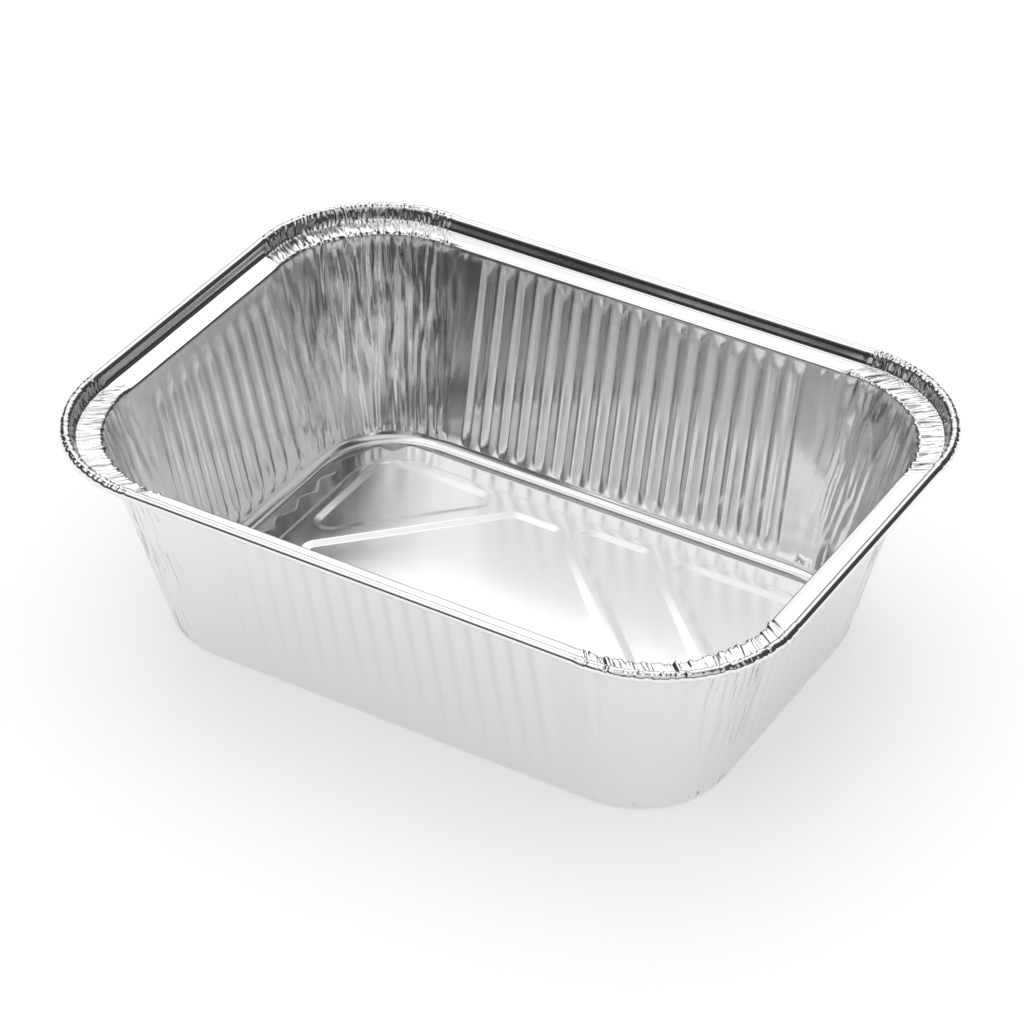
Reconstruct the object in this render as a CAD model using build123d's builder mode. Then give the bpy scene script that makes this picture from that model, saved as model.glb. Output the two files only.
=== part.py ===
"""Aluminium foil food tray, pressed from one sheet.

Everything is one piece of foil: an embossed floor, drafted walls with pressed
ribs, a flat ledge that a lid sits on, and a steep upstand that ends in an open bead.
Millimetres. The origin is the centre of the footprint, on the surface that the
tray stands on. X runs along the length and Z is up.
"""
import os
from math import asin, atan, atan2, cos, degrees, hypot, sin, sqrt, tan

from build123d import *

# Overall size, over the bead
length = 220.0
width = 163.5
height = 66.6
foil = 0.15

# Rim, from the outermost edge inwards: open bead, steep upstand, ledge at its foot
rim_radius = 40.0           # plan radius of the outermost edge
bead_radius = 1.45
bead_sweep = 265.0          # degrees of a circle that the bead is rolled through
upstand_width = 3.9         # outermost edge to the foot of the upstand
upstand_height = 4.2        # ledge to the top of the bead
foot_radius = 0.6           # bend from the ledge into the upstand
foot_flat = 0.8
ledge_on_short = 6.0        # ledge width along the short sides
ledge_on_long = 5.6
ledge_radius = 34.0         # plan radius of the ledge's inner edge

# Walls and floor
floor_inset_x = 24.0        # outermost edge to the foot of the wall, at the short sides
floor_inset_y = 23.0        # the same at the long sides
floor_radius = 26.0         # plan radius of the foot of the wall
bottom_radius = 3.0

# Ribs, pressed into the cavity as low hipped roofs
rib_height = 0.9
rib_width_share = 0.78      # of the pitch, the rest is flat wall
rib_end_run = 3.0           # length of the sloping end of a rib
long_rib_count = 17
long_rib_pitch = 6.3
long_rib_top = 2.0          # below the ledge
long_rib_bottom = 3.2       # above the base
short_rib_count = 10
short_rib_pitch = 6.0
short_rib_top = 6.0
short_rib_bottom = 4.5

# Floor: a raised field, with panels let back down into it
field_margin_x = 10.5        # foot of the wall to the foot of the field
field_margin_y = 9.7
field_radius = 16.0
field_rise = 0.9
field_bevel = 1.6
panel_margin = 2.0          # top edge of the field to the panels
panel_drop = 0.6
panel_bevel = 2.8
panel_corner = 5.0
channel = 3.2               # strip left between a corner panel and its neighbour
band_channel = 1.5          # strip left along the diagonal band
back_cut = 69.5             # |x| + |y| on the long side of the two back corner panels
front_cut = 78.0            # the same for the two front ones
band_near = 36.0            # x + y along the near side of the diagonal band
band_far = 65.0
middle_setback = 4.0        # the middle panel stops this far short of the back ones

# Derived levels, and half sizes of the cavity's wall at its foot and at its mouth
ledge_z = height - upstand_height
floor_x = length / 2 - floor_inset_x
floor_y = width / 2 - floor_inset_y
mouth_x = length / 2 - upstand_width - ledge_on_short
mouth_y = width / 2 - upstand_width - ledge_on_long
draft_x = atan((mouth_x - floor_x) / ledge_z)
draft_y = atan((mouth_y - floor_y) / ledge_z)
skin_run = foil / cos(draft_x)      # foil measured level, across the wall


def tub(grow, bottom_z):
    """Drafted tub with round corners, from bottom_z up to the ledge."""
    low_x = floor_x + bottom_z * tan(draft_x) + grow
    low_y = floor_y + bottom_z * tan(draft_y) + grow
    with BuildPart() as shape:
        with BuildSketch(Plane.XY.offset(bottom_z)):
            RectangleRounded(2 * low_x, 2 * low_y, floor_radius + grow)
        with BuildSketch(Plane.XY.offset(ledge_z)):
            RectangleRounded(2 * (mouth_x + grow), 2 * (mouth_y + grow), ledge_radius + grow)
        loft(ruled=True)
        fillet(shape.edges().group_by(Axis.Z)[0], bottom_radius - bottom_z)
    return shape.part


def rib(pitch, span, skin):
    """One rib, a hipped roof standing on z = 0; skin thickens the tool's own shape."""
    side_slope = atan(rib_height / (rib_width_share * pitch / 2))
    end_slope = atan(rib_height / rib_end_run)
    half_width = rib_width_share * pitch / 2 + skin * tan(side_slope / 2)
    half_span = span / 2 + skin * tan(end_slope / 2)
    top = half_width * tan(side_slope)
    root = 2 * foil             # the roof starts this far behind the wall
    with BuildPart() as roof:
        with BuildSketch(Plane.XZ):
            with BuildLine():
                side_run = root / tan(side_slope)
                Polyline(
                    (-half_width - side_run, -root),
                    (half_width + side_run, -root),
                    (0, top),
                    close=True,
                )
            make_face()
        extrude(amount=span, both=True)
        with BuildSketch(Plane.YZ):
            with BuildLine():
                end_run = root / tan(end_slope)
                Polyline(
                    (-half_span - end_run, -root),
                    (half_span + end_run, -root),
                    (half_span - top / tan(end_slope), top),
                    (-half_span + top / tan(end_slope), top),
                    close=True,
                )
            make_face()
        extrude(amount=pitch, both=True, mode=Mode.INTERSECT)
    return roof.part


def ribs(grow, skin):
    """All the ribs, on walls that lie grow outside the cavity."""
    with BuildPart() as rows:
        top = ledge_z - long_rib_top
        middle = (top + long_rib_bottom) / 2
        one_long = rib(long_rib_pitch, (top - long_rib_bottom) / cos(draft_y), skin)
        long_wall = Plane(
            origin=(0, floor_y + grow + middle * tan(draft_y), middle),
            x_dir=(1, 0, 0),
            z_dir=(0, -cos(draft_y), sin(draft_y)),
        )
        with Locations(long_wall):
            with GridLocations(long_rib_pitch, 1, long_rib_count, 1):
                add(one_long)
        mirror(about=Plane.XZ)
        top = ledge_z - short_rib_top
        middle = (top + short_rib_bottom) / 2
        one_short = rib(short_rib_pitch, (top - short_rib_bottom) / cos(draft_x), skin)
        for side in (1, -1):
            short_wall = Plane(
                origin=(side * (floor_x + grow + middle * tan(draft_x)), 0, middle),
                x_dir=(0, -side, 0),
                z_dir=(-side * cos(draft_x), 0, sin(draft_x)),
            )
            with Locations(short_wall):
                with GridLocations(short_rib_pitch, 1, short_rib_count, 1):
                    add(one_short)
    return rows.part


def panel(corners):
    """One floor panel as a tool: corners at field level, sides sloping in and down."""
    with BuildPart() as tool:
        with BuildSketch(Plane.XY.offset(field_rise)) as outline:
            Polygon(*corners, align=None)
            fillet(outline.vertices(), panel_corner)
        extrude(amount=-panel_drop, taper=degrees(atan(panel_bevel / panel_drop)))
    return tool.part


def floor_pattern():
    """The raised part of the floor: the field less its panels, standing on z = 0."""
    foot_x = floor_x - field_margin_x
    foot_y = floor_y - field_margin_y
    side_x = foot_x - field_bevel - panel_margin
    side_y = foot_y - field_bevel - panel_margin
    back_y = side_y - middle_setback
    gap = channel * sqrt(2)
    band_gap = band_channel * sqrt(2)
    middle_back = back_cut - gap
    middle_front = front_cut - gap
    middle_far = band_near - band_gap
    panels = {
        "back_left": [
            (-side_x, side_y),
            (-side_x, back_cut - side_x),
            (side_y - back_cut, side_y),
        ],
        "front_left": [
            (-side_x, -side_y),
            (side_y - front_cut, -side_y),
            (-side_x, side_x - front_cut),
        ],
        "front_right": [
            (side_x, -side_y),
            (side_x, side_x - front_cut),
            (front_cut - side_y, -side_y),
        ],
        "back_right": [
            (side_x, side_y),
            (band_far + band_gap - side_y, side_y),
            (side_x, band_far + band_gap - side_x),
        ],
        "band": [
            (band_near - side_y, side_y),
            ((band_near + middle_front) / 2, (band_near - middle_front) / 2),
            ((band_far + middle_front) / 2, (band_far - middle_front) / 2),
            (band_far - side_y, side_y),
        ],
        "middle": [
            (back_y - middle_back, back_y),
            (-(middle_back + middle_front) / 2, (middle_back - middle_front) / 2),
            (side_y - middle_front, -side_y),
            (middle_front - side_y, -side_y),
            ((middle_far + middle_front) / 2, (middle_far - middle_front) / 2),
            (middle_far - back_y, back_y),
        ],
    }
    with BuildPart() as field:
        with BuildSketch(Plane.XY.offset(-foil)):
            RectangleRounded(2 * foot_x, 2 * foot_y, field_radius)
        extrude(amount=foil)
        with BuildSketch(Plane.XY):
            RectangleRounded(2 * foot_x, 2 * foot_y, field_radius)
        with BuildSketch(Plane.XY.offset(field_rise)):
            RectangleRounded(
                2 * (foot_x - field_bevel),
                2 * (foot_y - field_bevel),
                field_radius - field_bevel,
            )
        loft(ruled=True)
        for corners in panels.values():
            add(panel(corners), mode=Mode.SUBTRACT)
    return field.part


def rim_outline(inset, level):
    """The rim's plan outline, inset from its outermost edge."""
    with BuildSketch(Plane.XY.offset(level)) as outline:
        RectangleRounded(length - 2 * inset, width - 2 * inset, rim_radius - inset)
    return outline.sketch


def rim():
    """Upstand and open bead, as one foil-thick section carried round the tray."""
    radius = bead_radius - foil / 2
    foot_x = length / 2 - upstand_width
    foot_z = ledge_z - foil / 2
    bead_x = length / 2 - bead_radius
    bead_z = height - bead_radius
    # Slope of the upstand that runs into the bead with no corner
    reach = hypot(bead_x - foot_x, bead_z - foot_z)
    slope = atan2(bead_z - foot_z, bead_x - foot_x) + asin(radius / reach)
    foot_run = foot_radius * tan(slope / 2)
    foot_start = (foot_x - foot_run, foot_z)
    foot_end = (foot_x + foot_run * cos(slope), foot_z + foot_run * sin(slope))
    bead_start = (bead_x - radius * sin(slope), bead_z + radius * cos(slope))
    path = rim_outline(upstand_width, ledge_z).wire()
    with BuildPart() as ring:
        with BuildSketch(Plane.XZ):
            with BuildLine():
                Line((foot_x - foot_run - foot_flat, foot_z), foot_start)
                RadiusArc(foot_start, foot_end, -foot_radius)
                Line(foot_end, bead_start)
                CenterArc((bead_x, bead_z), radius, 90 + degrees(slope), -bead_sweep)
            trace(line_width=foil)
        sweep(path=path)
    return ring.part


os.makedirs("parts", exist_ok=True)

pattern = floor_pattern()
with BuildPart() as cavity:
    add(tub(0, foil))
    with Locations((0, 0, foil)):
        add(pattern, mode=Mode.SUBTRACT)
    add(ribs(0, foil), mode=Mode.SUBTRACT)

with BuildPart() as foil_tray:
    # The foil's lower surface as a solid, then the cavity taken out of it
    add(tub(skin_run, 0))
    add(pattern, mode=Mode.SUBTRACT)
    add(ribs(skin_run, 0), mode=Mode.SUBTRACT)
    add(cavity.part, mode=Mode.SUBTRACT)
    # Ledge
    with BuildSketch(Plane.XY.offset(ledge_z - foil)):
        add(rim_outline(upstand_width + foot_flat, 0))
        RectangleRounded(2 * mouth_x, 2 * mouth_y, ledge_radius, mode=Mode.SUBTRACT)
    extrude(amount=foil)
    add(rim())

foil_tray.part.label = "foil_tray"
export_step(foil_tray.part, "parts/foil_tray.step")
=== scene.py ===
"""Looks of an aluminium foil food tray, built round its CAD solid.

The tray is one sheet of foil. Its smooth mid-surface is laid out as rings of points, the floor's
embossing is triangulated between its contours, and a Geometry Nodes tree presses the ribs,
pleats and creases into it. A Solidify modifier then gives the foil its thickness.
"""
import math

import bpy
import numpy as np
from mathutils import Matrix, Vector
from mathutils.geometry import delaunay_2d_cdt


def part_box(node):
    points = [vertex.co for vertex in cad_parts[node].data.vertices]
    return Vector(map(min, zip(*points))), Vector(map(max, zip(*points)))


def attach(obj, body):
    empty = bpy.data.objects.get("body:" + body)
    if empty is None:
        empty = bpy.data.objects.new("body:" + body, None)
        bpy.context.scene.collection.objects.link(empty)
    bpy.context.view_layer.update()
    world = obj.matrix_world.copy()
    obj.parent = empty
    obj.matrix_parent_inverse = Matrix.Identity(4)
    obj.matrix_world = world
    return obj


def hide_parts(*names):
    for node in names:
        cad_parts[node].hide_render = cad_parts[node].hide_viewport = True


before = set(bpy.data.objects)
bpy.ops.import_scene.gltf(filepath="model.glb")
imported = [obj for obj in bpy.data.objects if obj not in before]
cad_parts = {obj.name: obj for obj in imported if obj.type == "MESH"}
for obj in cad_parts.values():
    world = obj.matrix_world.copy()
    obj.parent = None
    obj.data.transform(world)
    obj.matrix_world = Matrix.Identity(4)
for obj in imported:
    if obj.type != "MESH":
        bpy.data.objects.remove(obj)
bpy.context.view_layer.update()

bl_info = {
    "name": "Foil Food Tray",
    "version": (1, 0, 0),
    "blender": (4, 5, 0),
    "location": "View3D > Sidebar > Foil Tray",
    "description": "Pressed aluminium foil food tray with a beaded rim, and its studio stage",
    "category": "Add Mesh",
}

MM = 0.001
NODE = "foil_tray"
BODY = "root"
LOW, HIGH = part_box(NODE)


def length(name, default, description):
    """A length property in metres, with its default given in millimetres."""
    return bpy.props.FloatProperty(
        name=name,
        description=description,
        default=default * MM,
        min=0.0,
        unit="LENGTH",
        subtype="DISTANCE",
        precision=5,
    )


def angle(name, default, description):
    """An angle property, with its default given in degrees."""
    return bpy.props.FloatProperty(
        name=name,
        description=description,
        default=math.radians(default),
        unit="ROTATION",
        subtype="ANGLE",
    )


def factor(name, default, description, high=1.0):
    """A plain number with no unit."""
    return bpy.props.FloatProperty(
        name=name, description=description, default=default, min=0.0, max=high
    )


def count(name, default, description):
    """A whole number of like things."""
    return bpy.props.IntProperty(name=name, description=description, default=default, min=0)


def colour(name, default, description):
    """A colour, linear."""
    return bpy.props.FloatVectorProperty(
        name=name, description=description, default=default, size=3, subtype="COLOR", min=0, max=1
    )


class FoilTraySizes(bpy.types.PropertyGroup):
    """Sizes of the tray that a maker would change."""

    foil: length("Foil", 0.15, "Thickness of the sheet")
    rim_radius: length("Rim Radius", 40.0, "Plan radius of the rim's outermost edge")
    bead_radius: length("Bead Radius", 1.45, "Radius of the open bead at the rim's edge")
    bead_sweep: angle("Bead Sweep", 265.0, "Turn that the bead is rolled through")
    upstand_width: length("Upstand Width", 3.9, "Outermost edge to the foot of the upstand")
    upstand: length("Upstand", 4.2, "Ledge to the top of the bead")
    foot_bend: length("Foot Bend", 0.6, "Bend from the ledge into the upstand")
    ledge_short: length("Ledge, Short Sides", 6.0, "Width of the ledge along the short sides")
    ledge_long: length("Ledge, Long Sides", 5.6, "Width of the ledge along the long sides")
    ledge_radius: length("Ledge Radius", 34.0, "Plan radius of the ledge's inner edge")
    mouth_bend: length("Mouth Bend", 1.1, "Bend from the wall into the ledge")
    inset_x: length("Floor Inset X", 24.0, "Outermost edge to the wall's foot, short sides")
    inset_y: length("Floor Inset Y", 23.0, "Outermost edge to the wall's foot, long sides")
    floor_radius: length("Floor Radius", 26.0, "Plan radius of the foot of the wall")
    bottom_bend: length("Bottom Bend", 3.0, "Bend from the floor into the wall")


class FoilTrayFloor(bpy.types.PropertyGroup):
    """Sizes of the embossing in the floor."""

    margin_x: length("Margin X", 10.5, "Foot of the wall to the foot of the field, along X")
    margin_y: length("Margin Y", 9.7, "Foot of the wall to the foot of the field, along Y")
    radius: length("Field Radius", 16.0, "Plan radius of the field's foot")
    rise: length("Field Rise", 0.9, "Height of the raised field")
    bevel: length("Field Bevel", 1.9, "Width of the slope round the field")
    panel_margin: length("Panel Margin", 2.0, "Top edge of the field to the panels")
    panel_drop: length("Panel Drop", 0.6, "Depth of a panel in the field")
    panel_bevel: length("Panel Bevel", 2.8, "Width of the slope round a panel")
    panel_corner: length("Panel Corner", 5.0, "Plan radius of a panel's corners")
    channel: length("Channel", 3.2, "Strip between a corner panel and its neighbour")
    band_channel: length("Band Channel", 1.5, "Strip along the diagonal band")
    back_cut: length("Back Cut", 69.5, "|x| + |y| on the long side of a back corner panel")
    front_cut: length("Front Cut", 78.0, "|x| + |y| on the long side of a front corner panel")
    band_near: length("Band Near", 36.0, "x + y along the near side of the band")
    band_far: length("Band Far", 65.0, "x + y along the far side of the band")
    setback: length("Middle Setback", 4.0, "How far the middle panel stops short of the others")


class FoilTrayPressing(bpy.types.PropertyGroup):
    """Ribs, pleats and creases that the nodes press into the foil."""

    rib_height: length("Rib Height", 0.9, "Height of a rib above the wall")
    rib_end: length("Rib End", 3.0, "Length of the sloping end of a rib")
    long_ribs: count("Long Ribs", 17, "Ribs on a long side")
    long_pitch: length("Long Pitch", 6.3, "Pitch of the ribs on a long side")
    long_top: length("Long Rib Top", 2.0, "Ledge to the top of a rib on a long side")
    long_bottom: length("Long Rib Bottom", 3.2, "Base to the foot of a rib on a long side")
    short_ribs: count("Short Ribs", 10, "Ribs on a short side")
    short_pitch: length("Short Pitch", 6.0, "Pitch of the ribs on a short side")
    short_top: length("Short Rib Top", 6.0, "Ledge to the top of a rib on a short side")
    short_bottom: length("Short Rib Bottom", 4.5, "Base to the foot of a rib on a short side")
    pleat_depth: length("Pleat Depth", 0.42, "Depth of the pleats round the corners of the rim")
    pleat_pitch: length("Pleat Pitch", 1.5, "Typical spacing of the pleats")
    crease_depth: length("Crease Depth", 0.75, "Depth of the creases in the corners of the wall")
    crease_pitch: length("Crease Pitch", 4.4, "Typical spacing of the large creases")
    ledge_wave: length("Ledge Wave", 0.05, "Height of the soft waves across the ledge")
    seed: count("Seed", 7, "Chooses one pattern of creases")


class FoilTrayStage(bpy.types.PropertyGroup):
    """Material, lights and camera."""

    foil_colour: colour("Foil Colour", (0.90, 0.905, 0.91), "Colour of the bare foil")
    roughness: factor("Roughness", 0.13, "Roughness of the foil")
    floor_colour: colour("Floor Colour", (0.86, 0.86, 0.86), "Colour of the studio floor")
    azimuth: angle("Azimuth", 31.27, "Camera turned from the front towards +X")
    elevation: angle("Elevation", 36.13, "Camera above the floor")
    roll: angle("Roll", -0.13, "Camera rolled about its own axis")
    distance: length("Distance", 1093.0, "Camera to the plane through the origin")
    lens: factor("Lens", 137.24, "Focal length on a 36 mm sensor, in millimetres", 1000.0)
    aim_right: bpy.props.FloatProperty(
        name="Aim Right",
        description="Camera moved to its own right",
        default=0.46 * MM,
        unit="LENGTH",
    )
    aim_up: bpy.props.FloatProperty(
        name="Aim Up", description="Camera moved up", default=28.45 * MM, unit="LENGTH"
    )


# ---------------------------------------------------------------- node maths


class Socket:
    """A node's output, with arithmetic that adds Math nodes to its tree."""

    def __init__(self, build, socket):
        self.build = build
        self.socket = socket

    def math(self, operation, *others):
        """This value and others through one Math node."""
        node = self.build.node("ShaderNodeMath", {"operation": operation}, self, *others)
        return Socket(self.build, node.outputs[0])

    def flipped(self, operation, other):
        """other and this value, in that order, through one Math node."""
        node = self.build.node("ShaderNodeMath", {"operation": operation}, other, self)
        return Socket(self.build, node.outputs[0])

    def __add__(self, other):
        return self.math("ADD", other)

    def __sub__(self, other):
        return self.math("SUBTRACT", other)

    def __mul__(self, other):
        return self.math("MULTIPLY", other)

    def __truediv__(self, other):
        return self.math("DIVIDE", other)

    def __radd__(self, other):
        return self.flipped("ADD", other)

    def __rsub__(self, other):
        return self.flipped("SUBTRACT", other)

    def __rmul__(self, other):
        return self.flipped("MULTIPLY", other)

    def __neg__(self):
        return self.math("MULTIPLY", -1.0)


class Build:
    """Adds nodes to one tree."""

    def __init__(self, tree):
        self.tree = tree

    def node(self, kind, settings=None, *values, **named):
        """One node: its settings, then its sockets in order, then sockets by name."""
        made = self.tree.nodes.new(kind)
        for name, value in (settings or {}).items():
            setattr(made, name, value)
        for i, value in enumerate(values):
            self.feed(made.inputs[i], value)
        for name, value in named.items():
            self.feed(made.inputs[name], value)
        return made

    def feed(self, target, value):
        """Links or sets one input."""
        if isinstance(value, Socket):
            self.tree.links.new(value.socket, target)
        elif isinstance(value, bpy.types.NodeSocket):
            self.tree.links.new(value, target)
        elif value is not None:
            target.default_value = value

    def out(self, node, name=0):
        """One output of a node, ready for arithmetic."""
        return Socket(self, node.outputs[name])

    def vector(self, x, y, z=0.0):
        """Three values as one vector."""
        return self.out(self.node("ShaderNodeCombineXYZ", None, x, y, z))

    def split(self, vector):
        """A vector's three values."""
        node = self.node("ShaderNodeSeparateXYZ", None, vector)
        return [self.out(node, i) for i in range(3)]

    def smooth(self, value, low, high):
        """0 below low, 1 above high, and smooth between them."""
        settings = {"interpolation_type": "SMOOTHSTEP"}
        limits = {"From Min": low, "From Max": high}
        return self.out(self.node("ShaderNodeMapRange", settings, Value=value, **limits))

    def between(self, value, low, high, soft):
        """1 between low and high, with edges soft wide."""
        rise = self.smooth(value, low - soft, low)
        fall = self.smooth(value, high, high + soft)
        return rise * (1 - fall)

    def noise(self, vector, scale=1.0, detail=1.0):
        """Noise centred on 0, about -0.5 to 0.5."""
        settings = {"noise_dimensions": "3D"}
        sockets = {"Vector": vector, "Scale": scale, "Detail": detail, "Roughness": 0.5}
        return self.out(self.node("ShaderNodeTexNoise", settings, **sockets)) - 0.5

    def cells(self, vector, randomness=1.0):
        """Distance to the edge of irregular cells about one unit across."""
        settings = {"voronoi_dimensions": "2D", "feature": "DISTANCE_TO_EDGE"}
        sockets = {"Vector": vector, "Scale": 1.0, "Randomness": randomness}
        return self.out(self.node("ShaderNodeTexVoronoi", settings, **sockets))


# ---------------------------------------------------------------- foil surface

SIDES = 4
COLUMNS_PER_CORNER = {"rim": 172, "wall": 78, "floor": 16}
SIDE_STEP = {"rim": 4.0, "wall": 1.6, "floor": 4.0}
RIB_STEPS = (-0.5, -0.4, -0.345, -0.06, 0.06, 0.345, 0.4)   # of a pitch, from a rib's crest
PAST_RIBS = 0.2             # mm beyond the last rib
RIM_ENDS = (3.4, 2.6, 2.0, 1.5, 1.0, 0.5)   # mm from a corner, closer columns on the rim
RIM_ENDS_ROOM = 4.2         # mm kept clear of the rim's even columns
BOTTOM_ROWS, WALL_ROWS, MOUTH_ROWS, BEAD_ROWS = 6, 25, 5, 15
LEDGE_ROWS, FOOT_ROWS, UPSTAND_ROWS = (0.3, 0.6, 0.9), (0, 0.33, 0.67, 1), (0.33, 0.67)
WALL_START = 0.25           # mm above the bend at the wall's foot
WALL_STOP = 0.5             # mm below the bend at the wall's mouth
MOUTH_TUCK = 0.9            # share of the mouth's bend that lies on the wall
MOUTH_RUN = 1.6             # run given to the mouth's bend, in mm
LEDGE_RUN = 3.6             # run given to the ledge, whatever its width
FLOOR_MARK = (0.0, -10.0, 50.0)     # a floor point's foil mark, clear of every pattern


def own_names(group):
    """The names of a property group's own properties."""
    return [name for name in group.bl_rna.properties.keys() if name not in ("rna_type", "name")]


def in_mm(group):
    """A property group's lengths, in millimetres."""
    return {name: getattr(group, name) / MM for name in own_names(group)}


def layout(sizes, press):
    """The tray's derived sizes, in millimetres."""
    mm = in_mm(sizes)
    mm["bead_sweep"] = sizes.bead_sweep     # an angle, so not scaled
    half = ((HIGH - LOW) / MM) / 2
    mm["half"] = (half.x, half.y)
    mm["height"] = (HIGH.z - LOW.z) / MM
    mm["ledge_z"] = mm["height"] - mm["upstand"]
    mm["floor_half"] = [half.x - mm["inset_x"], half.y - mm["inset_y"]]
    mm["mouth_half"] = [
        half.x - mm["upstand_width"] - mm["ledge_short"],
        half.y - mm["upstand_width"] - mm["ledge_long"],
    ]
    mm["ribs"] = [
        (press.short_ribs, press.short_pitch / MM),
        (press.long_ribs, press.long_pitch / MM),
    ]
    return mm


def stations(kind, size):
    """Places round the tray: (side or corner, number, place) for each column.

    A place on a side is in millimetres from its middle, and on a corner from 0 to 1. Sides 0 and 2
    are the short ones, at +X and -X.
    """
    places = []
    for k in range(SIDES):
        ribs, pitch = size["ribs"][k % 2]
        reach = rib_reach(k, size)
        end = reference_half(k, size)
        if kind == "wall":
            crests = (np.arange(ribs) - (ribs - 1) / 2) * pitch
            inner = (crests[:, None] + np.array(RIB_STEPS) * pitch).ravel()
            inner = np.append(inner, ribs * pitch / 2)
            plain = np.linspace(reach, end, 2 + round((end - reach) / SIDE_STEP["wall"]))[:-1]
            row = np.concatenate([-plain[::-1], inner, plain])
        else:
            steps = max(2, round(2 * end / SIDE_STEP[kind]))
            row = np.linspace(-end, end, steps + 1)[1:-1]
            if kind == "rim":
                close = end - np.array(RIM_ENDS)
                row = row[np.abs(row) < end - RIM_ENDS_ROOM]
                row = np.concatenate([-close[::-1], row, close])
        places += [("side", k, t) for t in row]
        steps = COLUMNS_PER_CORNER[kind]
        places += [("corner", k, f) for f in np.linspace(0, 1, steps + 1)]
    return places


def reference_half(k, size):
    """Half the straight part of a side where places are measured, at the rim's outermost edge."""
    across = size["half"][1 - k % 2]
    return across - size["rim_radius"]


def rib_reach(k, size):
    """Half the length of a side that its ribs take up."""
    ribs, pitch = size["ribs"][k % 2]
    return ribs * pitch / 2 + PAST_RIBS


def ring(places, half, radius, z, size):
    """The points of one ring at the given stations."""
    points = np.zeros((len(places), 3))
    for i, (part, k, place) in enumerate(places):
        turn = k * math.pi / 2
        out = half[k % 2]
        along = half[1 - k % 2] - radius
        if part == "side":
            reach = rib_reach(k, size)
            t = abs(place)
            if t > reach:
                t = reach + (t - reach) * (along - reach) / (reference_half(k, size) - reach)
            x, y = out, math.copysign(t, place)
        else:
            x = out - radius + radius * math.cos(place * math.pi / 2)
            y = along + radius * math.sin(place * math.pi / 2)
        points[i] = (
            x * math.cos(turn) - y * math.sin(turn),
            x * math.sin(turn) + y * math.cos(turn),
            z,
        )
    return points


def ring_marks(places, run, size):
    """Where each point lies on the foil: (place round a corner, run, distance past the corner) and
    (place along a side, 1 on a short side or 2 on a long one, 0)."""
    arc = size["rim_radius"] * math.pi / 2
    foil = np.zeros((len(places), 3))
    side = np.zeros((len(places), 3))
    for i, (part, k, place) in enumerate(places):
        if part == "corner":
            foil[i] = (100 * (k + 1) + (place - 0.5) * arc, run, 0)
            continue
        past = reference_half(k, size) - abs(place)
        corner = k + 1 if place > 0 else (k - 1) % SIDES + 1
        toward = -1 if place > 0 else 1
        foil[i] = (100 * corner + toward * (arc / 2 + past), run, past)
        side[i] = (place, 1 + k % 2, 0)
    return foil, side


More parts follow.
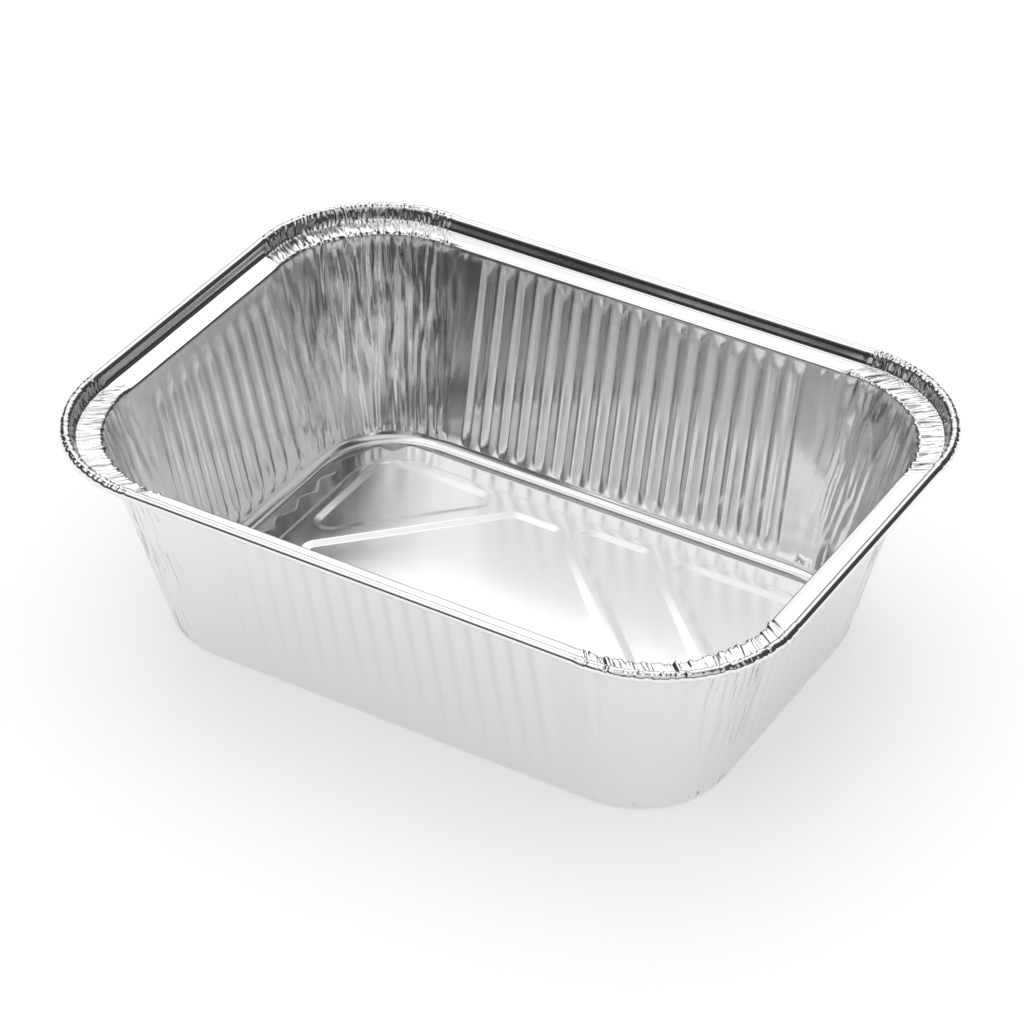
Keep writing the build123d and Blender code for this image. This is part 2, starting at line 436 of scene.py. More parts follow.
def profile(size):
    """Rows from the floor's edge to the end of the bead: (columns, half sizes, radius, z, run).

    The run of a row says how far along the foil it lies. On the wall it is the row's height, and
    past the ledge it grows by true distance.
    """
    foil = size["foil"]
    floor_half, mouth_half = size["floor_half"], size["mouth_half"]
    ledge_z = size["ledge_z"]
    mid = foil / 2
    rows = []

    def wall_at(z):
        share = z / ledge_z
        half = [a + (b - a) * share + mid for a, b in zip(floor_half, mouth_half)]
        growth = (size["ledge_radius"] - size["floor_radius"]) * share
        return half, size["floor_radius"] + growth + mid

    # Bend between the floor and the wall
    bend = size["bottom_bend"]
    drafts = [math.atan((b - a) / ledge_z) for a, b in zip(floor_half, mouth_half)]
    for share in np.linspace(0, 1, BOTTOM_ROWS):
        half = []
        for a, draft in zip(floor_half, drafts):
            turn = math.pi / 2 - draft
            half.append(a + mid - bend * math.tan(turn / 2) + bend * math.sin(turn * share))
        turn = math.pi / 2 - sum(drafts) / 2
        radius = size["floor_radius"] - bend * math.tan(turn / 2) + bend * math.sin(turn * share)
        z = mid + bend * (1 - math.cos(turn * share))
        rows.append(("floor", half, radius, z, z))
    # Wall
    top = ledge_z - MOUTH_TUCK * size["mouth_bend"]
    for z in np.linspace(rows[-1][3] + WALL_START, top - WALL_STOP, WALL_ROWS):
        rows.append(("wall", *wall_at(z), z, z))
    # Bend from the wall into the ledge
    bend = size["mouth_bend"]
    low_z = ledge_z - mid
    for share in np.linspace(0, 1, MOUTH_ROWS):
        half = []
        for a, draft in zip(mouth_half, drafts):
            turn = math.pi / 2 - draft
            back = bend * math.tan(turn / 2)
            half.append(a + back - bend * math.sin(turn * (1 - share)))
        turn = math.pi / 2 - sum(drafts) / 2
        back = bend * math.tan(turn / 2)
        radius = size["ledge_radius"] + back - bend * math.sin(turn * (1 - share))
        z = low_z - bend * (1 - math.cos(turn * (1 - share)))
        rows.append(("rim", half, radius, z, ledge_z + MOUTH_RUN * share))
    run = rows[-1][4]
    # Ledge, as far as the foot of an upstand that runs into the bead with no corner
    inner_half, inner_radius = rows[-1][1], rows[-1][2]
    bead_radius = size["bead_radius"] - mid
    bead_out = size["upstand_width"] - size["bead_radius"]
    bead_z = size["height"] - size["bead_radius"]
    slope = math.atan2(bead_z - low_z, bead_out)
    slope += math.asin(bead_radius / math.hypot(bead_z - low_z, bead_out))
    foot_run = size["foot_bend"] * math.tan(slope / 2)
    foot = size["upstand_width"] + foot_run
    outer_half = [h - foot for h in size["half"]]
    outer_radius = size["rim_radius"] - foot
    for share in LEDGE_ROWS:
        half = [a + (b - a) * share for a, b in zip(inner_half, outer_half)]
        radius = inner_radius + (outer_radius - inner_radius) * share
        rows.append(("rim", half, radius, low_z, run + LEDGE_RUN * share))
    run += LEDGE_RUN
    # Foot, upstand and bead, as (distance out from the upstand's foot, z)
    bend = size["foot_bend"]
    section = []
    for share in FOOT_ROWS:
        part = share * slope
        section.append((bend * math.sin(part) - foot_run, low_z + bend * (1 - math.cos(part))))
    start = section[-1]
    end = (bead_out - bead_radius * math.sin(slope), bead_z + bead_radius * math.cos(slope))
    for share in UPSTAND_ROWS:
        section.append(tuple(a + (b - a) * share for a, b in zip(start, end)))
    for share in np.linspace(0, 1, BEAD_ROWS):
        part = math.pi / 2 + slope - share * size["bead_sweep"]
        section.append(
            (bead_out + bead_radius * math.cos(part), bead_z + bead_radius * math.sin(part))
        )
    path = [(size["upstand_width"] - out, z) for out, z in section]
    last = path[0]
    for inset, z in path:
        run += math.dist(last, (inset, z))
        last = (inset, z)
        half = [h - inset for h in size["half"]]
        rows.append(("rim", half, size["rim_radius"] - inset, z, run))
    return rows


def stitch(low, high, low_s, high_s):
    """Faces between two closed rings of different counts, given each point's place round them."""
    faces = []
    i = j = 0
    n, m = len(low), len(high)
    while i < n or j < m:
        next_low = low_s[i + 1] if i + 1 < n else low_s[0] + SIDES
        next_high = high_s[j + 1] if j + 1 < m else high_s[0] + SIDES
        a, b = low[i % n], high[j % m]
        if j >= m or (i < n and next_low <= next_high):
            faces.append((a, low[(i + 1) % n], b))
            i += 1
        else:
            faces.append((a, high[(j + 1) % m], b))
            j += 1
    return faces


def round_place(places, size):
    """A number from 0 to 4 that grows round the tray, for each station."""
    values = []
    for part, k, place in places:
        if part == "side":
            values.append(k + 0.5 * (place / reference_half(k, size) + 1) / 2)
        else:
            values.append(k + 0.5 + 0.499 * place)
    return values


# ---------------------------------------------------------------- floor embossing

# Share of a slope's width, and of its height: straight in the middle and rounded at both edges
SLOPE = ((0.0, 0.0), (0.1, 0.031), (0.2, 0.125), (0.8, 0.875), (0.9, 0.969), (1.0, 1.0))
PANEL_BASE = 1.6            # mm, slope round the field that the panels are set out from
OUTLINE_STEP = 5.0          # mm between points along a straight edge
CORNER_STEPS = 7
CLEAR = 0.8                 # mm that loose points keep away from a slope
CLEAR_CORNER = 0.9          # mm, radius that keeps a shrunken panel's corners convex
GRID_STEP = 5.5             # mm between loose points
GRID_SHIFT = 2.7            # mm, every second row of them
GRID_PAST = (8, 7)          # mm that their grid starts outside the field's foot
EDGE_SHARE = 0.985          # of the floor's outline, as far as loose points go


def rounded_polygon(corners, inset, radius):
    """Points round a convex polygon, counterclockwise, moved in by inset, with its corners cut to
    radius - inset about the same centres."""
    corners = [np.array(c, float) for c in corners]
    area = sum(a[0] * b[1] - b[0] * a[1] for a, b in zip(corners, corners[1:] + corners[:1]))
    if area < 0:
        corners.reverse()
    ways = [(b - a) / np.linalg.norm(b - a) for a, b in zip(corners, corners[1:] + corners[:1])]
    inward = [np.array((-way[1], way[0])) for way in ways]
    centres = [
        corner + (inward[i - 1] + inward[i]) * radius / (1 + ways[i - 1] @ ways[i])
        for i, corner in enumerate(corners)
    ]
    points = []
    for i, centre in enumerate(centres):
        turn = math.acos(max(-1, min(1, ways[i - 1] @ ways[i])))
        start = math.atan2(-inward[i - 1][1], -inward[i - 1][0])
        for share in np.linspace(0, 1, CORNER_STEPS):
            a = start + share * turn
            points.append(centre + (radius - inset) * np.array((math.cos(a), math.sin(a))))
        span = centres[(i + 1) % len(centres)] - centre
        steps = max(2, round(np.linalg.norm(span) / OUTLINE_STEP))
        for share in np.linspace(0, 1, steps + 1)[1:-1]:
            points.append(centre + span * share - inward[i] * (radius - inset))
    return np.array(points)


def inside(points, polygon):
    """Which points lie inside a convex counterclockwise polygon."""
    keep = np.ones(len(points), bool)
    for a, b in zip(polygon, np.roll(polygon, -1, axis=0)):
        edge = b - a
        keep &= edge[0] * (points[:, 1] - a[1]) - edge[1] * (points[:, 0] - a[0]) > 0
    return keep


def panels(size, v):
    """The corners of each panel in the floor, whose sizes are v."""
    side_x = size["floor_half"][0] - v["margin_x"] - PANEL_BASE - v["panel_margin"]
    side_y = size["floor_half"][1] - v["margin_y"] - PANEL_BASE - v["panel_margin"]
    back_y = side_y - v["setback"]
    back, front = v["back_cut"], v["front_cut"]
    gap = v["channel"] * math.sqrt(2)
    band_gap = v["band_channel"] * math.sqrt(2)
    near, far = v["band_near"], v["band_far"]
    middle_back, middle_front = back - gap, front - gap
    middle_far = near - band_gap
    return [
        [(-side_x, side_y), (-side_x, back - side_x), (side_y - back, side_y)],
        [(-side_x, -side_y), (side_y - front, -side_y), (-side_x, side_x - front)],
        [(side_x, -side_y), (side_x, side_x - front), (front - side_y, -side_y)],
        [
            (side_x, side_y),
            (far + band_gap - side_y, side_y),
            (side_x, far + band_gap - side_x),
        ],
        [
            (near - side_y, side_y),
            ((near + middle_front) / 2, (near - middle_front) / 2),
            ((far + middle_front) / 2, (far - middle_front) / 2),
            (far - side_y, side_y),
        ],
        [
            (back_y - middle_back, back_y),
            (-(middle_back + middle_front) / 2, (middle_back - middle_front) / 2),
            (side_y - middle_front, -side_y),
            (middle_front - side_y, -side_y),
            ((middle_far + middle_front) / 2, (middle_far - middle_front) / 2),
            (middle_far - back_y, back_y),
        ],
    ]


def floor_faces(edge, size, floor):
    """Points of the floor inside its edge ring, and its triangles, which count the edge's points
    first. floor holds the sizes of the embossing."""
    foil = size["foil"]
    points = [tuple(p[:2]) for p in edge]
    levels = [foil / 2] * len(edge)
    loops = [list(range(len(edge)))]

    def contour(outline, level):
        first = len(points)
        points.extend(tuple(p) for p in outline)
        levels.extend([level + foil / 2] * len(outline))
        loops.append(list(range(first, first + len(outline))))

    foot = [
        size["floor_half"][0] - floor["margin_x"],
        size["floor_half"][1] - floor["margin_y"],
    ]
    corners = [(-foot[0], -foot[1]), (foot[0], -foot[1]), (foot[0], foot[1]), (-foot[0], foot[1])]
    rise, bevel, field_radius = floor["rise"], floor["bevel"], floor["radius"]
    for share, up in SLOPE:
        contour(rounded_polygon(corners, share * bevel, field_radius), up * rise)
    drop, slope, corner_radius = floor["panel_drop"], floor["panel_bevel"], floor["panel_corner"]
    pans = panels(size, floor)
    for pan in pans:
        for share, up in SLOPE:
            outline = rounded_polygon(pan, share * slope, corner_radius)
            contour(outline, rise - up * drop)
    # A loose grid of points on the flats
    xs, ys = (
        np.arange(-reach - past, reach + past, GRID_STEP) for reach, past in zip(foot, GRID_PAST)
    )
    grid = np.array([(x + (GRID_SHIFT if j % 2 else 0), y) for j, y in enumerate(ys) for x in xs])
    in_pans = np.zeros(len(grid), bool)
    near_pans = np.zeros(len(grid), bool)
    for pan in pans:
        in_pans |= inside(grid, rounded_polygon(pan, slope + CLEAR, slope + CLEAR_CORNER))
        near_pans |= inside(grid, rounded_polygon(pan, -CLEAR, corner_radius))
    on_field = inside(grid, rounded_polygon(corners, bevel + CLEAR, field_radius))
    near_field = inside(grid, rounded_polygon(corners, -CLEAR, field_radius))
    on_floor = inside(grid, np.array([p[:2] for p in edge]) * EDGE_SHARE)
    for p, pan, near, field, close, floor_in in zip(
        grid, in_pans, near_pans, on_field, near_field, on_floor
    ):
        if pan:
            level = rise - drop
        elif field and not near:
            level = rise
        elif floor_in and not close:
            level = 0.0
        else:
            continue
        points.append(tuple(p))
        levels.append(level + foil / 2)
    edges = [(a, b) for loop in loops for a, b in zip(loop, loop[1:] + loop[:1])]
    verts, _, faces, from_verts, _, _ = delaunay_2d_cdt(
        [Vector(p) for p in points], edges, [], 0, 1e-5, True
    )
    place = []
    new_points, new_levels = list(points), list(levels)
    for v, origin in zip(verts, from_verts):
        if origin:
            place.append(origin[0])
        else:
            place.append(len(new_points))
            new_points.append(tuple(v))
            new_levels.append(rise)
    triangles = []
    for face in faces:
        ids = [place[i] for i in face]
        a, b, c = (new_points[i] for i in ids[:3])
        if (b[0] - a[0]) * (c[1] - a[1]) - (b[1] - a[1]) * (c[0] - a[0]) < 0:
            ids.reverse()
        triangles.append(ids)
    placed = np.array([(p[0], p[1], z) for p, z in zip(new_points, new_levels)])
    return placed[len(edge):], triangles


def smooth_sheet(sizes, floor, press):
    """The foil's mid-surface before ribs, pleats and creases, as a mesh with its marks."""
    size = layout(sizes, press)
    columns = {kind: stations(kind, size) for kind in ("rim", "wall", "floor")}
    around = {kind: round_place(columns[kind], size) for kind in columns}
    points, foil_marks, side_marks, faces, rings = [], [], [], [], []
    total = 0
    for kind, half, radius, z, run in profile(size):
        places = columns[kind]
        points.append(ring(places, half, radius, z, size))
        foil, side = ring_marks(places, run, size)
        foil_marks.append(foil)
        side_marks.append(side)
        rings.append((kind, list(range(total, total + len(places)))))
        total += len(places)
    for (kind, low), (next_kind, high) in zip(rings, rings[1:]):
        if kind == next_kind:
            n = len(low)
            faces += [
                (low[i], high[i], high[(i + 1) % n], low[(i + 1) % n])[::-1] for i in range(n)
            ]
        else:
            faces += stitch(low, high, around[kind], around[next_kind])
    edge = points[0]
    inner, triangles = floor_faces(edge, size, in_mm(floor))
    n = len(edge)
    faces += [tuple(i if i < n else i - n + total for i in t) for t in triangles]
    points.append(inner)
    foil_marks.append(np.tile(FLOOR_MARK, (len(inner), 1)))
    side_marks.append(np.zeros((len(inner), 3)))

    mesh = bpy.data.meshes.new(NODE)
    mesh.from_pydata(np.concatenate(points) * MM, [], faces)
    for name, marks in (("foil", foil_marks), ("side", side_marks)):
        attribute = mesh.attributes.new(name, "FLOAT_VECTOR", "POINT")
        attribute.data.foreach_set("vector", np.concatenate(marks).astype(np.float32).ravel())
    mesh.validate()
    mesh.update()
    return mesh


# ---------------------------------------------------------------- pressing

# Everything here is in millimetres of the foil, unless it is a share
SEED_SPREAD = 17.3                  # keeps the patterns of neighbouring seeds apart
RIB_HALF_SHARE = 0.39               # half of a rib's width, of its pitch
RIDGE_BLEND, FOOT_BLEND = 0.07, 0.06    # rounding of a rib's edges, of its height
# Uneven fields: waves per millimetre round the tray and along the run, and shift of the seed
RIPPLES = {
    "drift": (0.10, 0.045, 0.0),
    "jag": (0.45, 0.22, 3.0),
    "fluting": (0.34, 0.02, 9.0),
    "shear": (0.2, 0.35, 5.0),
    "swell": (0.55, 0.3, 6.0),
    "rimple": (0.3, 0.5, 8.0),
}
# Creases: the run they start at, how far they pass the ledge, the fade of both, the fade past a
# corner's end, and the run over which they deepen
CREASE_START, CREASE_PAST, CREASE_FADE, CREASE_SPREAD = 5.0, 1.0, 4.0, 9.0
CREASE_DEEPEN = (3.0, 42.0)
# Kinds of crease: drift, jag, pitches to one crease pitch, length, depth before it flattens out,
# blend there, and weight
LARGE_CREASE = (7.0, 1.2, 1.0, 42.0, 0.3, 0.1, 2.6)
SMALL_CREASE = (5.0, 1.0, 2.1, 24.0, 0.25, 0.1, 1.3)
CREASE_AT_FOOT = 0.35               # share of a large crease's depth at the foot of the wall
FLUTING = 1.6
CREASE_LEVEL = 0.5                  # share of the depth that the whole pattern is set back
# Slanted waves beside a corner: waves per millimetre past the corner and up, along their length
# past the corner and up, shift of the seed, reach, fade, run they grow over, and height
SLANT_ACROSS, SLANT_ALONG, SLANT_SHIFT = (0.3, 0.09), (0.05, 0.02), 4.0
SLANT_REACH, SLANT_FADE, SLANT_GROW, SLANT_HEIGHT = (1.0, 12.0), 5.0, (12.0, 40.0), 0.55
# Pleats: run they grow over from the ledge, fade past a corner, drift, length, randomness, depth
# before it flattens out, blend there, weight, set back and swell
PLEAT_GROW, PLEAT_END = (-1.2, 0.6), (1.6, 3.0)
PLEAT_DRIFT, PLEAT_LENGTH, PLEAT_RANDOM = 2.6, 13.0, 0.8
PLEAT_CREST, PLEAT_BLEND, PLEAT_WEIGHT, PLEAT_LEVEL, PLEAT_SWELL = 0.4, 0.08, 2.6, 0.55, 0.9
# Waves on the ledge: run past the ledge, fade, share on the long sides, slant, drift and length
WAVE_REACH, WAVE_FADE, WAVE_LONG = (1.5, 4.6), 1.2, 0.35
WAVE_SLANT, WAVE_DRIFT, WAVE_LENGTH = 1.3, 3.0, 3.5
RIMPLE_HEIGHT = 0.05
# Broad unevenness: waves per millimetre, height, share on the floor and added above it, and the
# run over which that grows
SPREAD_SCALE, SPREAD_HEIGHT = 0.03, 0.22
SPREAD_FLOOR, SPREAD_WALL, SPREAD_GROW = 0.3, 0.4, (0.5, 3.0)
# Outward tilt of the short ledges: run past the ledge that it turns about, reach, fade and slope
TIP_PIVOT, TIP_REACH, TIP_FADE, TIP_SLOPE = 3.4, (1.2, 5.6), 0.8, 0.13
SHORT_SIDE, LONG_SIDE, SIDE_MATCH = 1.0, 2.0, 0.1
COUNTS = ("long_ribs", "short_ribs", "seed")


def pressing_tree(press, upstand):
    """Geometry Nodes that press ribs, pleats, creases and waves into the sheet."""
    tree = bpy.data.node_groups.new("foil_pressing", "GeometryNodeTree")
    tree.is_modifier = True
    interface = tree.interface
    interface.new_socket("Geometry", in_out="OUTPUT", socket_type="NodeSocketGeometry")
    interface.new_socket("Geometry", in_out="INPUT", socket_type="NodeSocketGeometry")
    given = {}
    for name in own_names(press):
        setting = float(getattr(press, name))
        title = press.bl_rna.properties[name].name
        socket = interface.new_socket(title, in_out="INPUT", socket_type="NodeSocketFloat")
        socket.default_value = setting
        given[name] = (title, socket.identifier, setting)
    interface.new_socket("Foil Material", in_out="INPUT", socket_type="NodeSocketMaterial")

    b = Build(tree)
    source = b.node("NodeGroupInput")
    value = {name: b.out(source, title) for name, (title, _, _) in given.items()}
    mm = {name: value[name] / MM for name in value if name not in COUNTS}
    named = {"data_type": "FLOAT_VECTOR"}
    foil = b.out(b.node("GeometryNodeInputNamedAttribute", named, "foil"))
    side = b.out(b.node("GeometryNodeInputNamedAttribute", named, "side"))
    around, run, past = b.split(foil)
    across, flag, _ = b.split(side)
    position = b.out(b.node("GeometryNodeInputPosition"))
    normal = b.out(b.node("GeometryNodeInputNormal"))
    scaled = b.node("ShaderNodeVectorMath", {"operation": "SCALE"}, position, Scale=1 / MM)
    x, y, z = b.split(b.out(scaled))
    ledge = (HIGH.z - LOW.z - upstand) / MM
    seed = value["seed"] * SEED_SPREAD
    on_short = flag.math("COMPARE", SHORT_SIDE, SIDE_MATCH)
    on_long = flag.math("COMPARE", LONG_SIDE, SIDE_MATCH)

    def ripple(name):
        round_scale, run_scale, shift = RIPPLES[name]
        return b.noise(b.vector(around * round_scale, run * run_scale, seed + shift))

    # Ribs: hipped roofs with rounded edges
    def rib_row(pitch, total, top, bottom, on_side):
        inward = (across / pitch + total * 0.5).math("FRACT") - 0.5
        flank = (RIB_HALF_SHARE - inward.math("ABSOLUTE")) / RIB_HALF_SHARE
        climb = (z - bottom) / mm["rib_end"]
        fall = (ledge - top - z) / mm["rib_end"]
        roof = flank.math("SMOOTH_MIN", climb, RIDGE_BLEND).math("SMOOTH_MIN", fall, RIDGE_BLEND)
        roof = roof.math("SMOOTH_MAX", 0.0, FOOT_BLEND)
        among = (pitch * total * 0.5 - across.math("ABSOLUTE")).math("GREATER_THAN", 0.0)
        return roof * on_side * among

    ribs = rib_row(
        mm["long_pitch"], value["long_ribs"], mm["long_top"], mm["long_bottom"], on_long
    )
    ribs = ribs + rib_row(
        mm["short_pitch"], value["short_ribs"], mm["short_top"], mm["short_bottom"], on_short
    )
    ribs = ribs * mm["rib_height"]

    # Creases in the corners of the wall, deepest at the top
    on_wall = b.between(run, CREASE_START, ledge + CREASE_PAST, CREASE_FADE)
    corner = 1 - b.smooth(past, 0.0, CREASE_SPREAD)
    upper = b.smooth(run, *CREASE_DEEPEN)
    drift, jag = ripple("drift"), ripple("jag")

    def creases(drifting, jagging, pitches, length, crest, blend, weight):
        bent = around + drift * drifting + jag * jagging
        distance = b.cells(b.vector(bent / mm["crease_pitch"] * pitches, run / length + seed))
        return distance.math("SMOOTH_MIN", crest, blend) * weight

    depth = mm["crease_depth"]
    large = creases(*LARGE_CREASE) * (CREASE_AT_FOOT + upper * (1 - CREASE_AT_FOOT))
    crease = (large + creases(*SMALL_CREASE) * upper + ripple("fluting") * FLUTING) * depth
    crease = (crease - CREASE_LEVEL * depth) * on_wall * corner

    # Soft slanted waves where the smooth wall meets the corner
    slant_across = past * SLANT_ACROSS[0] - run * SLANT_ACROSS[1]
    slant_along = past * SLANT_ALONG[0] + run * SLANT_ALONG[1]
    slant = b.noise(b.vector(slant_across, slant_along, seed + SLANT_SHIFT))
    beside = b.between(past, *SLANT_REACH, SLANT_FADE) * b.smooth(run, *SLANT_GROW) * on_wall
    slant = slant * beside * SLANT_HEIGHT

    # Pleats round the corners of the rim
    on_rim = b.smooth(run, *(ledge + grow for grow in PLEAT_GROW))
    gathered = 1 - b.smooth(past, *PLEAT_END)
    shear = ripple("shear")
    place = (around + shear * PLEAT_DRIFT) / mm["pleat_pitch"]
    pleat = b.cells(b.vector(place, run / PLEAT_LENGTH + seed), PLEAT_RANDOM)
    pleat = pleat.math("SMOOTH_MIN", PLEAT_CREST, PLEAT_BLEND) * PLEAT_WEIGHT
    pleat = (pleat - PLEAT_LEVEL + ripple("swell") * PLEAT_SWELL) * mm["pleat_depth"]
    pleat = pleat * on_rim * gathered

    # Waves across the ledge, strongest on the short sides, and a faint unevenness everywhere
    on_ledge = b.between(run, *(ledge + reach for reach in WAVE_REACH), WAVE_FADE)
    short = WAVE_LONG + on_short * (1 - WAVE_LONG)
    phase = across + run * WAVE_SLANT + shear * WAVE_DRIFT
    wave = (phase * (2 * math.pi / WAVE_LENGTH)).math("SINE")
    wave = wave * on_ledge * (1 - gathered) * short * mm["ledge_wave"]
    rimple = ripple("rimple") * on_rim * RIMPLE_HEIGHT
    broad = b.vector(x * SPREAD_SCALE, y * SPREAD_SCALE, z * SPREAD_SCALE)
    spread = b.noise(broad) * SPREAD_HEIGHT
    spread = spread * (SPREAD_FLOOR + b.smooth(run, *SPREAD_GROW) * SPREAD_WALL)

    # The short ledges fall slightly outwards
    tip_zone = b.between(run, *(ledge + reach for reach in TIP_REACH), TIP_FADE)
    tip = (ledge + TIP_PIVOT - run) * tip_zone * TIP_SLOPE
    tip = tip * on_short * (1 - gathered)

    lift = (ribs + crease + slant + pleat + wave + rimple + spread + tip) * MM
    offset = b.out(b.node("ShaderNodeVectorMath", {"operation": "SCALE"}, normal, Scale=lift))
    moved = b.node("GeometryNodeSetPosition", None, source.outputs["Geometry"], Offset=offset)
    shaded = b.node("GeometryNodeSetShadeSmooth", None, moved.outputs[0])
    real = b.node("GeometryNodeRealizeInstances", None, shaded.outputs[0])
    foil_material_given = source.outputs["Foil Material"]
    painted = b.node(
        "GeometryNodeSetMaterial", None, real.outputs[0], Material=foil_material_given
    )
    b.node("NodeGroupOutput", None, painted.outputs[0])
    return tree, given


# Finish of the foil: scale of its fine grain and of its cloudiness, how far each changes the
# roughness, the grain's relief, and what the matt floor adds to the roughness
GRAIN_SCALE, CLOUD_SCALE = 240.0, 22.0
GRAIN_ROUGHNESS, CLOUD_ROUGHNESS, GRAIN_RELIEF = 0.04, 0.05, 0.012
FLOOR_ROUGHNESS, FLOOR_ENDS = 0.09, (0.2, 2.5)
# Fine lines in the corners: fade past a corner, run they grow over, lines per millimetre round
# the tray and along the run, drift, depth before it flattens out, blend there, and relief
LINE_END, LINE_GROW, LINE_SCALE = (1.6, 7.0), (6.0, 30.0), (1.1, 0.09)
LINE_DRIFT, LINE_CREST, LINE_BLEND, LINE_RELIEF = 2.0, 0.12, 0.06, 0.9
RELIEF = 0.1                # mm


def empty_material(name):
    """A material with no nodes yet, and the builder of its tree."""
    material = bpy.data.materials.new(name)
    material.use_nodes = True
    material.node_tree.nodes.clear()
    return material, Build(material.node_tree)


def foil_material(stage):
    """Bare foil: bright, a little uneven, with fine lines where it is gathered."""
    material, b = empty_material("bare_foil")
    place = b.out(b.node("ShaderNodeTexCoord"), "Object")
    foil = b.node("ShaderNodeAttribute", {"attribute_name": "foil"})
    around, run, past = b.split(b.out(foil, "Vector"))
    grain = b.noise(place, GRAIN_SCALE, 3.0)
    cloud = b.noise(place, CLOUD_SCALE, 2.0)
    gathered = (1 - b.smooth(past, *LINE_END)) * b.smooth(run, *LINE_GROW)
    lines = b.cells(b.vector(around * LINE_SCALE[0] + cloud * LINE_DRIFT, run * LINE_SCALE[1]))
    lines = lines.math("SMOOTH_MIN", LINE_CREST, LINE_BLEND)
    height = grain * GRAIN_RELIEF + lines * gathered * LINE_RELIEF
    bump = b.node("ShaderNodeBump", None, Strength=1.0, Distance=RELIEF * MM, Height=height)
    matt = (1 - b.smooth(run, *FLOOR_ENDS)) * FLOOR_ROUGHNESS
    uneven = grain * GRAIN_ROUGHNESS + cloud * CLOUD_ROUGHNESS
    sockets = {
        "Base Color": (*stage.foil_colour, 1.0),
        "Metallic": 1.0,
        "Roughness": stage.roughness + matt + uneven,
        "Normal": bump.outputs[0],
    }
    shader = b.node("ShaderNodeBsdfPrincipled", None, **sockets)
    b.node("ShaderNodeOutputMaterial", None, shader.outputs[0])
    return material


# ---------------------------------------------------------------- operators


class OBJECT_OT_foil_tray(bpy.types.Operator):
    """Build the tray's foil"""

    bl_idname = "object.foil_tray_foil"
    bl_label = "Foil Tray"

    def execute(self, context):
        scene = context.scene
        press = scene.foil_tray_pressing
        mesh = smooth_sheet(scene.foil_tray_sizes, scene.foil_tray_floor, press)
        raw = bpy.data.objects.new("pressing_blank", mesh)
        scene.collection.objects.link(raw)
        material = foil_material(scene.foil_tray_stage)
        tree, given = pressing_tree(press, scene.foil_tray_sizes.upstand)
        pressing = raw.modifiers.new("Pressing", "NODES")
        pressing.node_group = tree
        for name, (_, identifier, value) in given.items():
            pressing[identifier] = value
        last = [s for s in tree.interface.items_tree if s.name == "Foil Material"][0]
        pressing[last.identifier] = material
        thick = raw.modifiers.new("Thickness", "SOLIDIFY")
        thick.thickness = scene.foil_tray_sizes.foil
        thick.offset = 0.0
        context.view_layer.update()
        evaluated = raw.evaluated_get(context.evaluated_depsgraph_get())
        made = bpy.data.meshes.new_from_object(evaluated)
        made.name = "tray_foil"
        piece = bpy.data.objects.new("tray_foil", made)
        scene.collection.objects.link(piece)
        bpy.data.objects.remove(raw)
        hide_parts(NODE)
        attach(piece, BODY)
        if len(made.polygons) == 0:
            raise RuntimeError("the foil has no faces")
        print("tray_foil triangles", sum(len(p.vertices) - 2 for p in made.polygons))
        return {"FINISHED"}


GLOSSY_LOSS = 0.25          # share of the floor's glow that reflections do not see


def seen_directly(b, path):
    """1 where the camera, a reflection or a view through glass meets the surface."""
    seen = b.out(path, "Is Camera Ray").math("MAXIMUM", b.out(path, "Is Glossy Ray"))
    return seen.math("MAXIMUM", b.out(path, "Is Transmission Ray"))


def floor_material(floor_colour):
    """A matt floor that shows as near white to the camera and in reflections."""
    material, b = empty_material("studio_floor")
    matt = b.node("ShaderNodeBsdfDiffuse", None, (*floor_colour, 1.0))
    path = b.node("ShaderNodeLightPath")
    strength = seen_directly(b, path) - b.out(path, "Is Glossy Ray") * GLOSSY_LOSS
    glow = b.node("ShaderNodeEmission", None, (1, 1, 1, 1), strength * FLOOR_GLOW)
    shader = b.node("ShaderNodeAddShader", None, matt.outputs[0], glow.outputs[0])
    b.node("ShaderNodeOutputMaterial", None, shader.outputs[0])
    return material


def stage_piece(name, points, faces, material):
    """A mesh that belongs to the stage."""
    mesh = bpy.data.meshes.new(name)
    mesh.from_pydata(points, [], faces)
    mesh.materials.append(material)
    piece = bpy.data.objects.new(name, mesh)
    bpy.context.scene.collection.objects.link(piece)
    return piece


# Windows of the light tent: lowest and highest azimuth from +Y towards -X, lowest and highest
# elevation, softness of the edge (all in degrees), and level
TENT_LEVEL = 0.42
TENT_WINDOWS = (
    (4.0, 54.0, 16.0, 57.0, 5.0, 1.02),
    (-98.0, 2.0, 6.0, 72.0, 6.0, 0.06),
    (-172.0, -104.0, 28.0, 64.0, 8.0, 0.7),
    (62.0, 106.0, 10.0, 52.0, 8.0, 0.05),
    (102.0, 180.0, 38.0, 80.0, 8.0, 1.08),
    (112.0, 178.0, 10.0, 34.0, 6.0, 0.1),
    (-200.0, 200.0, -5.0, 10.0, 4.0, 0.03),
)
TENT_RADIUS = 3.0           # metres
TENT_DARKEST = 0.02
TENT_ROWS, TENT_COLUMNS = 12, 48
KEY_PLACE = (-0.5, 0.7, 1.5)
KEY_SIZE = 1.8              # metres
KEY_POWER = 4.0             # watts
FLOOR_REACH = 4             # metres
FLOOR_GLOW = 0.30           # light added where the camera or a reflection sees the floor
SKY_LEVEL = 0.82            # and white where the camera or a reflection sees the sky
SENSOR_WIDTH = 36.0         # mm


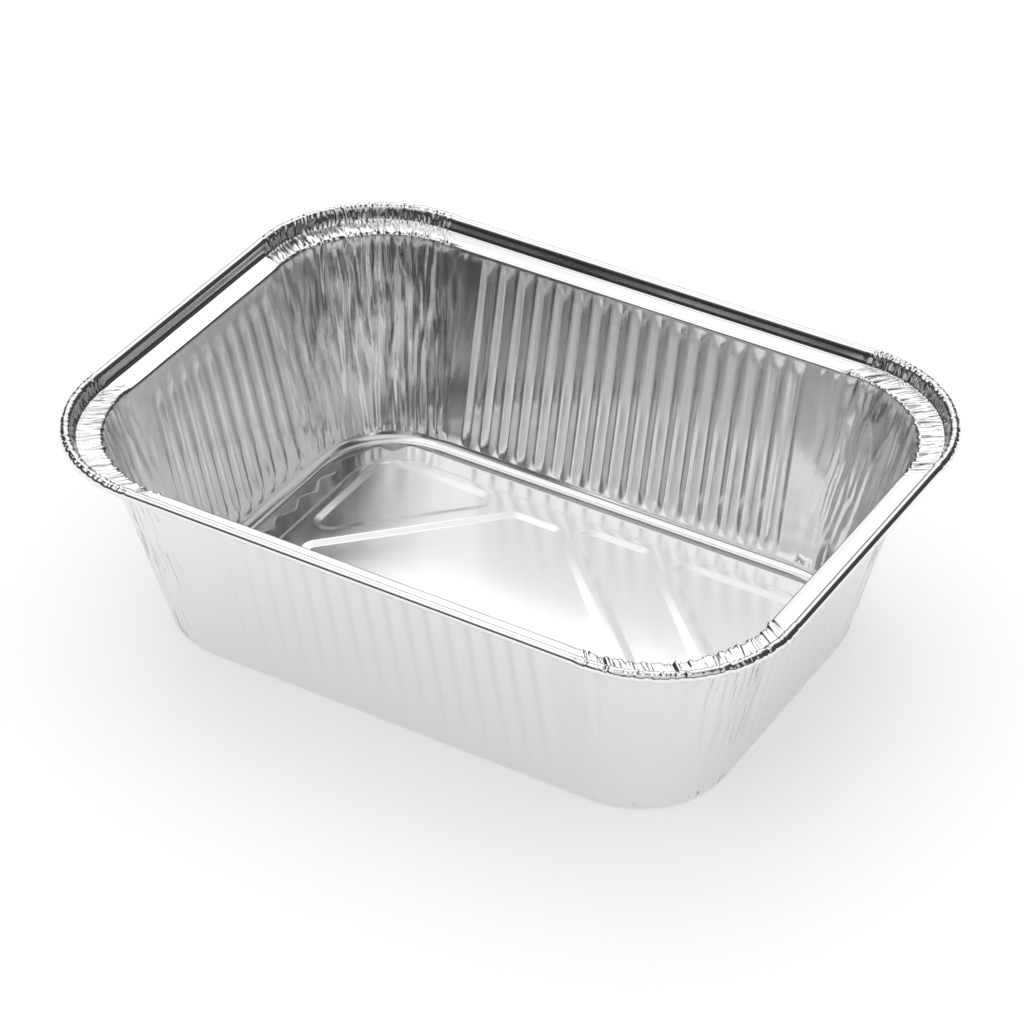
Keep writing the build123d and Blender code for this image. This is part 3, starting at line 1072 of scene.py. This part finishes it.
def tent_material():
    """The inside of a light tent: plain grey cloth with bright windows and dark flags."""
    material, b = empty_material("tent_cloth")
    x, y, z = b.split(b.out(b.node("ShaderNodeTexCoord"), "Object"))
    degrees = 180 / math.pi
    azimuth = (-x).math("ARCTAN2", y) * degrees
    flat = (x * x + y * y).math("SQRT")
    elevation = z.math("ARCTAN2", flat) * degrees
    level = None
    for left, right, low, high, soft, strength in TENT_WINDOWS:
        mask = b.between(azimuth, left, right, soft) * b.between(elevation, low, high, soft)
        add = mask * (strength - TENT_LEVEL)
        level = add if level is None else level + add
    level = (level + TENT_LEVEL).math("MAXIMUM", TENT_DARKEST)
    glow = b.node("ShaderNodeEmission", None, (1, 1, 1, 1), level)
    b.node("ShaderNodeOutputMaterial", None, glow.outputs[0])
    return material


def tent_dome():
    """The light tent, a half sphere that only the foil's reflections see."""
    rows, columns = TENT_ROWS, TENT_COLUMNS
    corners = []
    for i in range(rows + 1):
        lift = i / rows * math.pi / 2
        for j in range(columns):
            turn = j / columns * 2 * math.pi
            corners.append((
                TENT_RADIUS * math.cos(lift) * math.cos(turn),
                TENT_RADIUS * math.cos(lift) * math.sin(turn),
                TENT_RADIUS * math.sin(lift),
            ))
    faces = [
        (
            i * columns + j,
            (i + 1) * columns + j,
            (i + 1) * columns + (j + 1) % columns,
            i * columns + (j + 1) % columns,
        )
        for i in range(rows)
        for j in range(columns)
    ]
    return stage_piece("light_tent", corners, faces, tent_material())


class OBJECT_OT_foil_tray_stage(bpy.types.Operator):
    """Build the floor, light tent, lamp and camera"""

    bl_idname = "object.foil_tray_stage"
    bl_label = "Studio Stage"

    def execute(self, context):
        scene = context.scene
        stage = scene.foil_tray_stage
        far = FLOOR_REACH
        corners = [(-far, -far, 0), (far, -far, 0), (far, far, 0), (-far, far, 0)]
        floor = floor_material(stage.floor_colour)
        stage_piece("studio_floor", corners, [(0, 1, 2, 3)], floor)
        tent = tent_dome()
        tent.visible_camera = False
        tent.visible_shadow = False
        tent.visible_diffuse = False

        world = bpy.data.worlds.new("studio")
        scene.world = world
        world.use_nodes = True
        world.node_tree.nodes.clear()
        b = Build(world.node_tree)
        level = SKY_LEVEL + seen_directly(b, b.node("ShaderNodeLightPath")) * (1 - SKY_LEVEL)
        sky = b.node("ShaderNodeBackground", None, (1, 1, 1, 1), level)
        b.node("ShaderNodeOutputWorld", None, sky.outputs[0])

        data = bpy.data.lights.new("key_light", "AREA")
        data.shape = "SQUARE"
        data.size = KEY_SIZE
        data.energy = KEY_POWER
        lamp = bpy.data.objects.new("key_light", data)
        lamp.location = KEY_PLACE
        lamp.rotation_euler = (-Vector(KEY_PLACE)).to_track_quat("-Z", "Y").to_euler()
        scene.collection.objects.link(lamp)

        az, el, roll = stage.azimuth, stage.elevation, stage.roll
        back = Vector((math.sin(az) * math.cos(el), -math.cos(az) * math.cos(el), math.sin(el)))
        right = Vector((math.cos(az), math.sin(az), 0))
        up = right.cross(-back)
        tilted_right = right * math.cos(roll) + up * math.sin(roll)
        tilted_up = up * math.cos(roll) - right * math.sin(roll)
        place = back * stage.distance + tilted_right * stage.aim_right + tilted_up * stage.aim_up
        camera_data = bpy.data.cameras.new("camera")
        camera_data.lens = stage.lens
        camera_data.sensor_width = SENSOR_WIDTH
        camera = bpy.data.objects.new("camera", camera_data)
        turn = Matrix((tilted_right, tilted_up, back)).transposed().to_4x4()
        camera.matrix_world = Matrix.Translation(place) @ turn
        scene.collection.objects.link(camera)
        scene.camera = camera
        scene.view_settings.view_transform = "Standard"
        return {"FINISHED"}


class VIEW3D_PT_foil_tray(bpy.types.Panel):
    """Lists the tray's pieces and stage"""

    bl_idname = "VIEW3D_PT_foil_tray"
    bl_label = "Foil Tray"
    bl_space_type = "VIEW_3D"
    bl_region_type = "UI"
    bl_category = "Foil Tray"

    def draw(self, context):
        for operator in OPERATORS:
            self.layout.operator(operator.bl_idname)


GROUPS = {
    "foil_tray_sizes": FoilTraySizes,
    "foil_tray_floor": FoilTrayFloor,
    "foil_tray_pressing": FoilTrayPressing,
    "foil_tray_stage": FoilTrayStage,
}
OPERATORS = (OBJECT_OT_foil_tray, OBJECT_OT_foil_tray_stage)


def register():
    for name, group in GROUPS.items():
        bpy.utils.register_class(group)
        setattr(bpy.types.Scene, name, bpy.props.PointerProperty(type=group))
    for operator in OPERATORS:
        bpy.utils.register_class(operator)
    bpy.utils.register_class(VIEW3D_PT_foil_tray)


def unregister():
    bpy.utils.unregister_class(VIEW3D_PT_foil_tray)
    for operator in reversed(OPERATORS):
        bpy.utils.unregister_class(operator)
    for name, group in GROUPS.items():
        delattr(bpy.types.Scene, name)
        bpy.utils.unregister_class(group)


def main():
    register()
    bpy.ops.object.foil_tray_foil()
    bpy.ops.object.foil_tray_stage()


if __name__ == "__main__":
    main()
